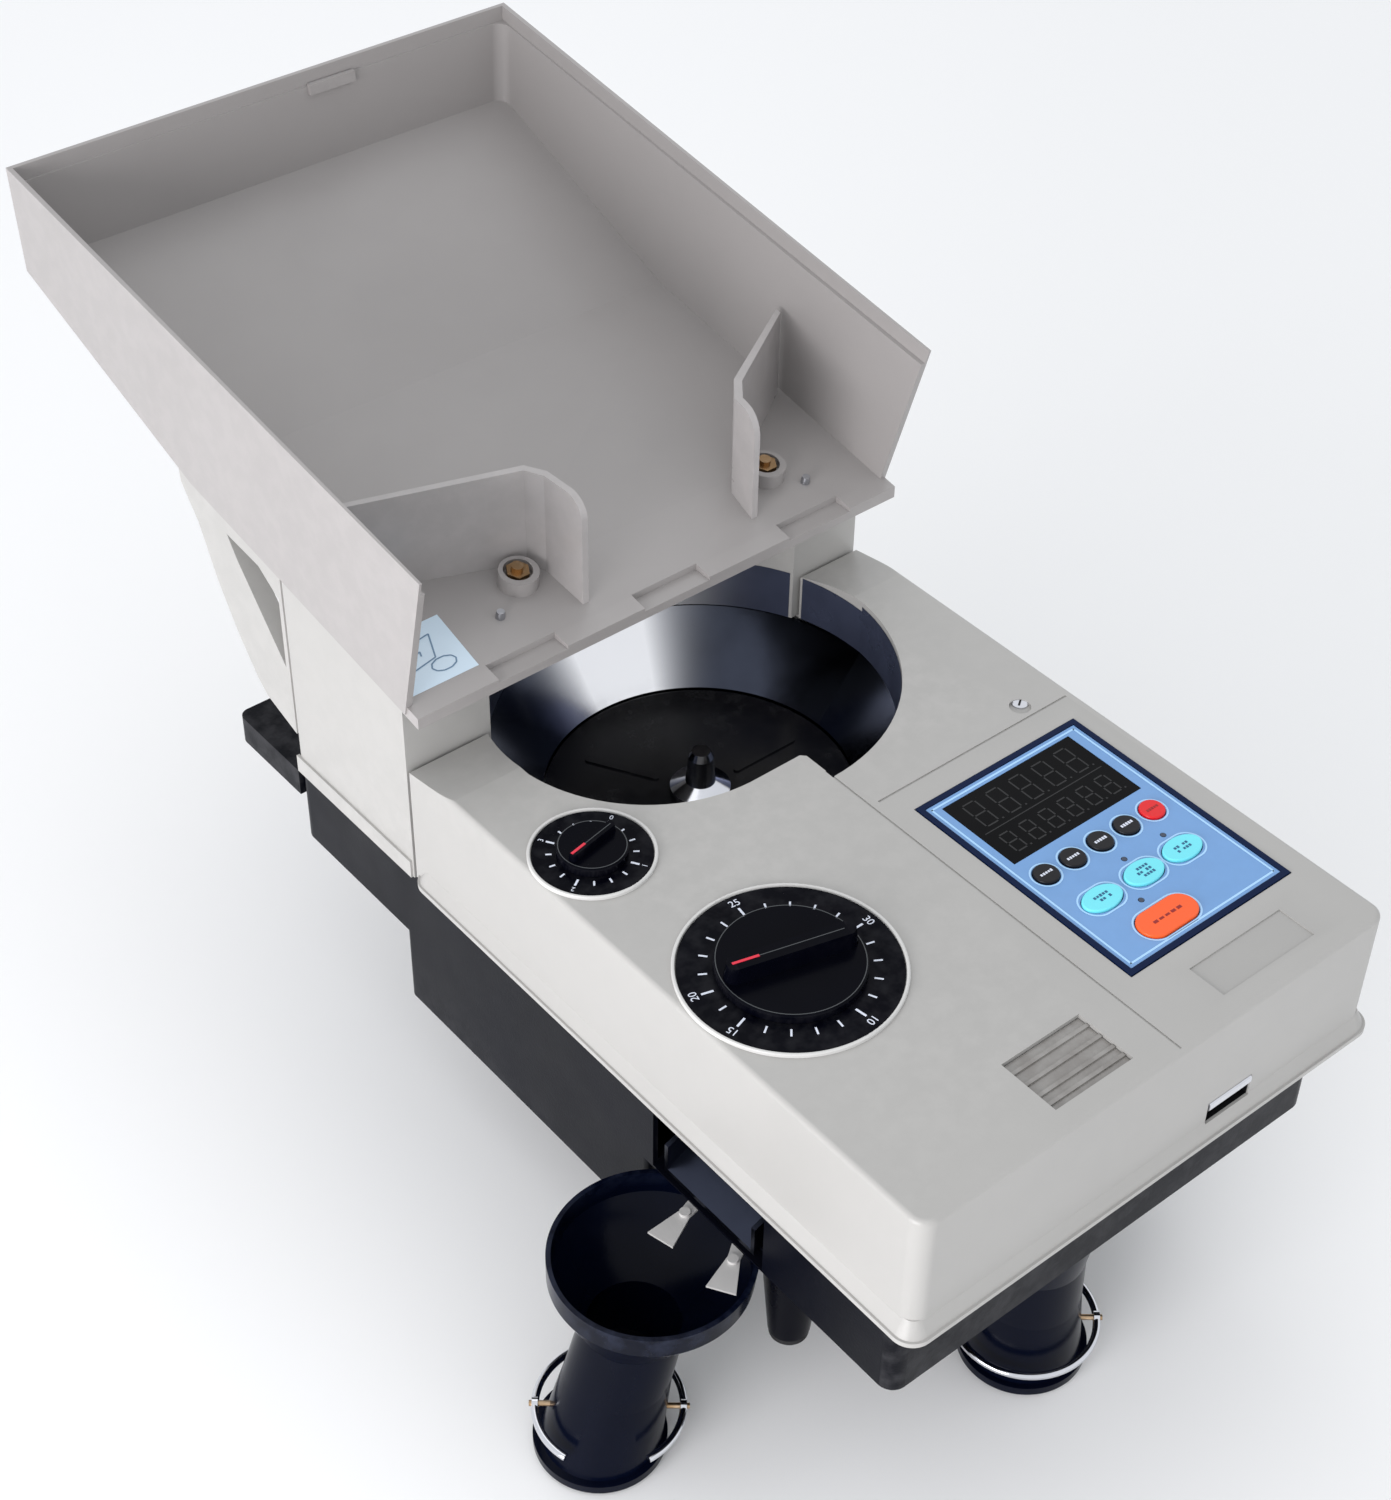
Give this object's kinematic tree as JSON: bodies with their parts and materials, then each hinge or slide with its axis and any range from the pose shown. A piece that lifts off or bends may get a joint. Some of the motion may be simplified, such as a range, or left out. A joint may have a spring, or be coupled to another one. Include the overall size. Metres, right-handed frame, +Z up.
{
  "type": "coin sorting machine",
  "caption": "Desktop coin sorter: tilted hopper tray over a spinning bowl, deck with setting dials and a key panel, stepped base and bag spouts.",
  "frame": {"origin": "on the table plane under the middle of the machine's width, 200 mm behind the front face of the deck; the spouts hang below this plane past the table's edge", "axes": "+X to the operator's right, +Y from the front towards the tray at the rear, +Z up"},
  "size_m": [0.3224, 0.569, 0.36],
  "materials": {
    "cover_paint": "satin light grey paint",
    "base_black": "fine textured black paint",
    "black_plastic": "matt black moulding",
    "spout_black": "glossy black moulding",
    "rubber": "matt",
    "sheet_steel": "brushed",
    "polished_steel": "polished",
    "chrome": "polished",
    "disc_black": "worn matt",
    "aluminium": "turned",
    "belt": "matt",
    "motor": "satin",
    "board_green": "solder mask",
    "zinc_yellow": "yellow zinc",
    "panel_blue": "printed film",
    "panel_navy": "printed film",
    "display_grey": "dark clear window",
    "digit_dark": "dark",
    "key_black": "satin",
    "key_red": "satin",
    "key_cyan": "satin",
    "key_orange": "satin",
    "lamp_red": "clear",
    "smoked": "clear plastic over the pale track",
    "white_plastic": "satin"
  },
  "bodies": {
    "base": {"base_pan": "base_black", "rear_brackets": "base_black", "front_foot_posts": "black_plastic", "foot_pads": "rubber", "chassis_plate": "sheet_steel", "bowl_ring": "polished_steel", "disc_bearing": "sheet_steel", "drive_motor": "motor", "motor_bracket": "sheet_steel", "drive_belt": "belt", "coin_track": "sheet_steel", "coin_sensor": "black_plastic", "power_supply": "aluminium", "main_board": "board_green", "power_inlet": "black_plastic", "switch_frame": "black_plastic", "rear_housing": "cover_paint", "tray_struts": "cover_paint", "hopper_tray": "cover_paint", "coin_guides": "cover_paint", "guide_nuts": "zinc_yellow", "hinge_pins": "chrome", "side_chute": "polished_steel", "front_chute": "polished_steel", "left_spout": "spout_black", "front_spout": "spout_black", "spout_clips": "chrome", "clamp_pivots": "zinc_yellow"},
    "disc": {"feed_disc": "disc_black", "disc_hub": "chrome", "disc_pulley": "aluminium"},
    "motor_rotor": {"motor_pulley": "aluminium"},
    "rocker": {"switch_rocker": "black_plastic"},
    "cover": {"deck_cover": "cover_paint", "inspection_window": "smoked", "dial_bezels": "cover_paint", "dial_scales": "black_plastic", "guide_bracket": "sheet_steel", "panel_frame": "panel_navy", "control_panel": "panel_blue", "display_window": "display_grey", "display_digits": "digit_dark", "panel_board": "board_green", "panel_lamps": "lamp_red"},
    "diameter_dial": {"diameter_dial_knob": "black_plastic"},
    "thickness_dial": {"thickness_dial_knob": "black_plastic"},
    "diameter_slide": {"diameter_guide": "sheet_steel"},
    "thickness_slide": {"thickness_plate": "sheet_steel"},
    "latch": {"front_latch": "chrome"},
    "left_ring": {"left_clamp_ring": "chrome"},
    "front_ring": {"front_clamp_ring": "chrome"},
    "count_key": {"key_count": "key_black"},
    "batch_key": {"key_batch": "key_black"},
    "total_key": {"key_total": "key_black"},
    "mode_key": {"key_mode": "key_black"},
    "clear_key": {"key_clear": "key_red"},
    "up_key": {"key_up": "key_cyan"},
    "speed_key": {"key_speed": "key_cyan"},
    "down_key": {"key_down": "key_cyan"},
    "start_key": {"key_start": "key_orange"}
  },
  "joints": [
    {"name": "disc_spin", "type": "hinge", "parent": "base", "child": "disc", "pos_m": [0.003, 0.064, 0.1], "axis": [0, 0, 1], "continuous": true},
    {"name": "motor_spin", "type": "hinge", "parent": "base", "child": "motor_rotor", "pos_m": [0.055, 0.088, 0.076], "axis": [0, 0, 1], "continuous": true},
    {"name": "rocker_tilt", "type": "hinge", "parent": "base", "child": "rocker", "pos_m": [-0.024, 0.199, 0.072], "axis": [0, 0, 1], "range_deg": [-14, 0]},
    {"name": "cover_lift", "type": "hinge", "parent": "base", "child": "cover", "pos_m": [0, 0.095, 0.15], "axis": [-1, 0, 0], "range_deg": [0, 50]},
    {"name": "diameter_turn", "type": "hinge", "parent": "cover", "child": "diameter_dial", "pos_m": [-0.0754, -0.0817, 0.158], "axis": [0, 0, 1], "range_deg": [-60, 60]},
    {"name": "diameter_travel", "type": "slide", "parent": "cover", "child": "diameter_slide", "axis": [1, 0, 0], "range_m": [-0.0085, 0.0085]},
    {"name": "thickness_turn", "type": "hinge", "parent": "cover", "child": "thickness_dial", "pos_m": [-0.0948, 0.0116, 0.158], "axis": [0, 0, 1], "range_deg": [-60, 60]},
    {"name": "thickness_travel", "type": "slide", "parent": "cover", "child": "thickness_slide", "axis": [0, 0, 1], "range_m": [-0.00104, 0.00104]},
    {"name": "latch_push", "type": "slide", "parent": "cover", "child": "latch", "axis": [0, 1, 0], "range_m": [0, 0.002], "stiffness_N_per_m": 400, "springref_m": -0.001},
    {"name": "left_ring_tilt", "type": "hinge", "parent": "base", "child": "left_ring", "pos_m": [-0.16223, -0.083, -0.03272], "axis": [0.766, -0.6428, 0], "range_deg": [-12, 12]},
    {"name": "front_ring_tilt", "type": "hinge", "parent": "base", "child": "front_ring", "pos_m": [-0.003, -0.156, -0.03272], "axis": [-0.766, 0.6428, 0], "range_deg": [-12, 12]},
    {"name": "count_press", "type": "slide", "parent": "cover", "child": "count_key", "axis": [0, 0, -1], "range_m": [0, 0.0009], "stiffness_N_per_m": 400, "springref_m": -0.0006},
    {"name": "batch_press", "type": "slide", "parent": "cover", "child": "batch_key", "axis": [0, 0, -1], "range_m": [0, 0.0009], "stiffness_N_per_m": 400, "springref_m": -0.0006},
    {"name": "total_press", "type": "slide", "parent": "cover", "child": "total_key", "axis": [0, 0, -1], "range_m": [0, 0.0009], "stiffness_N_per_m": 400, "springref_m": -0.0006},
    {"name": "mode_press", "type": "slide", "parent": "cover", "child": "mode_key", "axis": [0, 0, -1], "range_m": [0, 0.0009], "stiffness_N_per_m": 400, "springref_m": -0.0006},
    {"name": "clear_press", "type": "slide", "parent": "cover", "child": "clear_key", "axis": [0, 0, -1], "range_m": [0, 0.0009], "stiffness_N_per_m": 400, "springref_m": -0.0006},
    {"name": "up_press", "type": "slide", "parent": "cover", "child": "up_key", "axis": [0, 0, -1], "range_m": [0, 0.0009], "stiffness_N_per_m": 400, "springref_m": -0.0006},
    {"name": "speed_press", "type": "slide", "parent": "cover", "child": "speed_key", "axis": [0, 0, -1], "range_m": [0, 0.0009], "stiffness_N_per_m": 400, "springref_m": -0.0006},
    {"name": "down_press", "type": "slide", "parent": "cover", "child": "down_key", "axis": [0, 0, -1], "range_m": [0, 0.0009], "stiffness_N_per_m": 400, "springref_m": -0.0006},
    {"name": "start_press", "type": "slide", "parent": "cover", "child": "start_key", "axis": [0, 0, -1], "range_m": [0, 0.0009], "stiffness_N_per_m": 400, "springref_m": -0.0006}
  ],
  "couplings": [
    {"joint": "motor_spin", "follows": "disc_spin", "ratio": 3},
    {"joint": "diameter_travel", "follows": "diameter_turn", "m_per_rad": 0.008},
    {"joint": "thickness_turn", "follows": "thickness_travel", "rad_per_m": 1000}
  ]
}
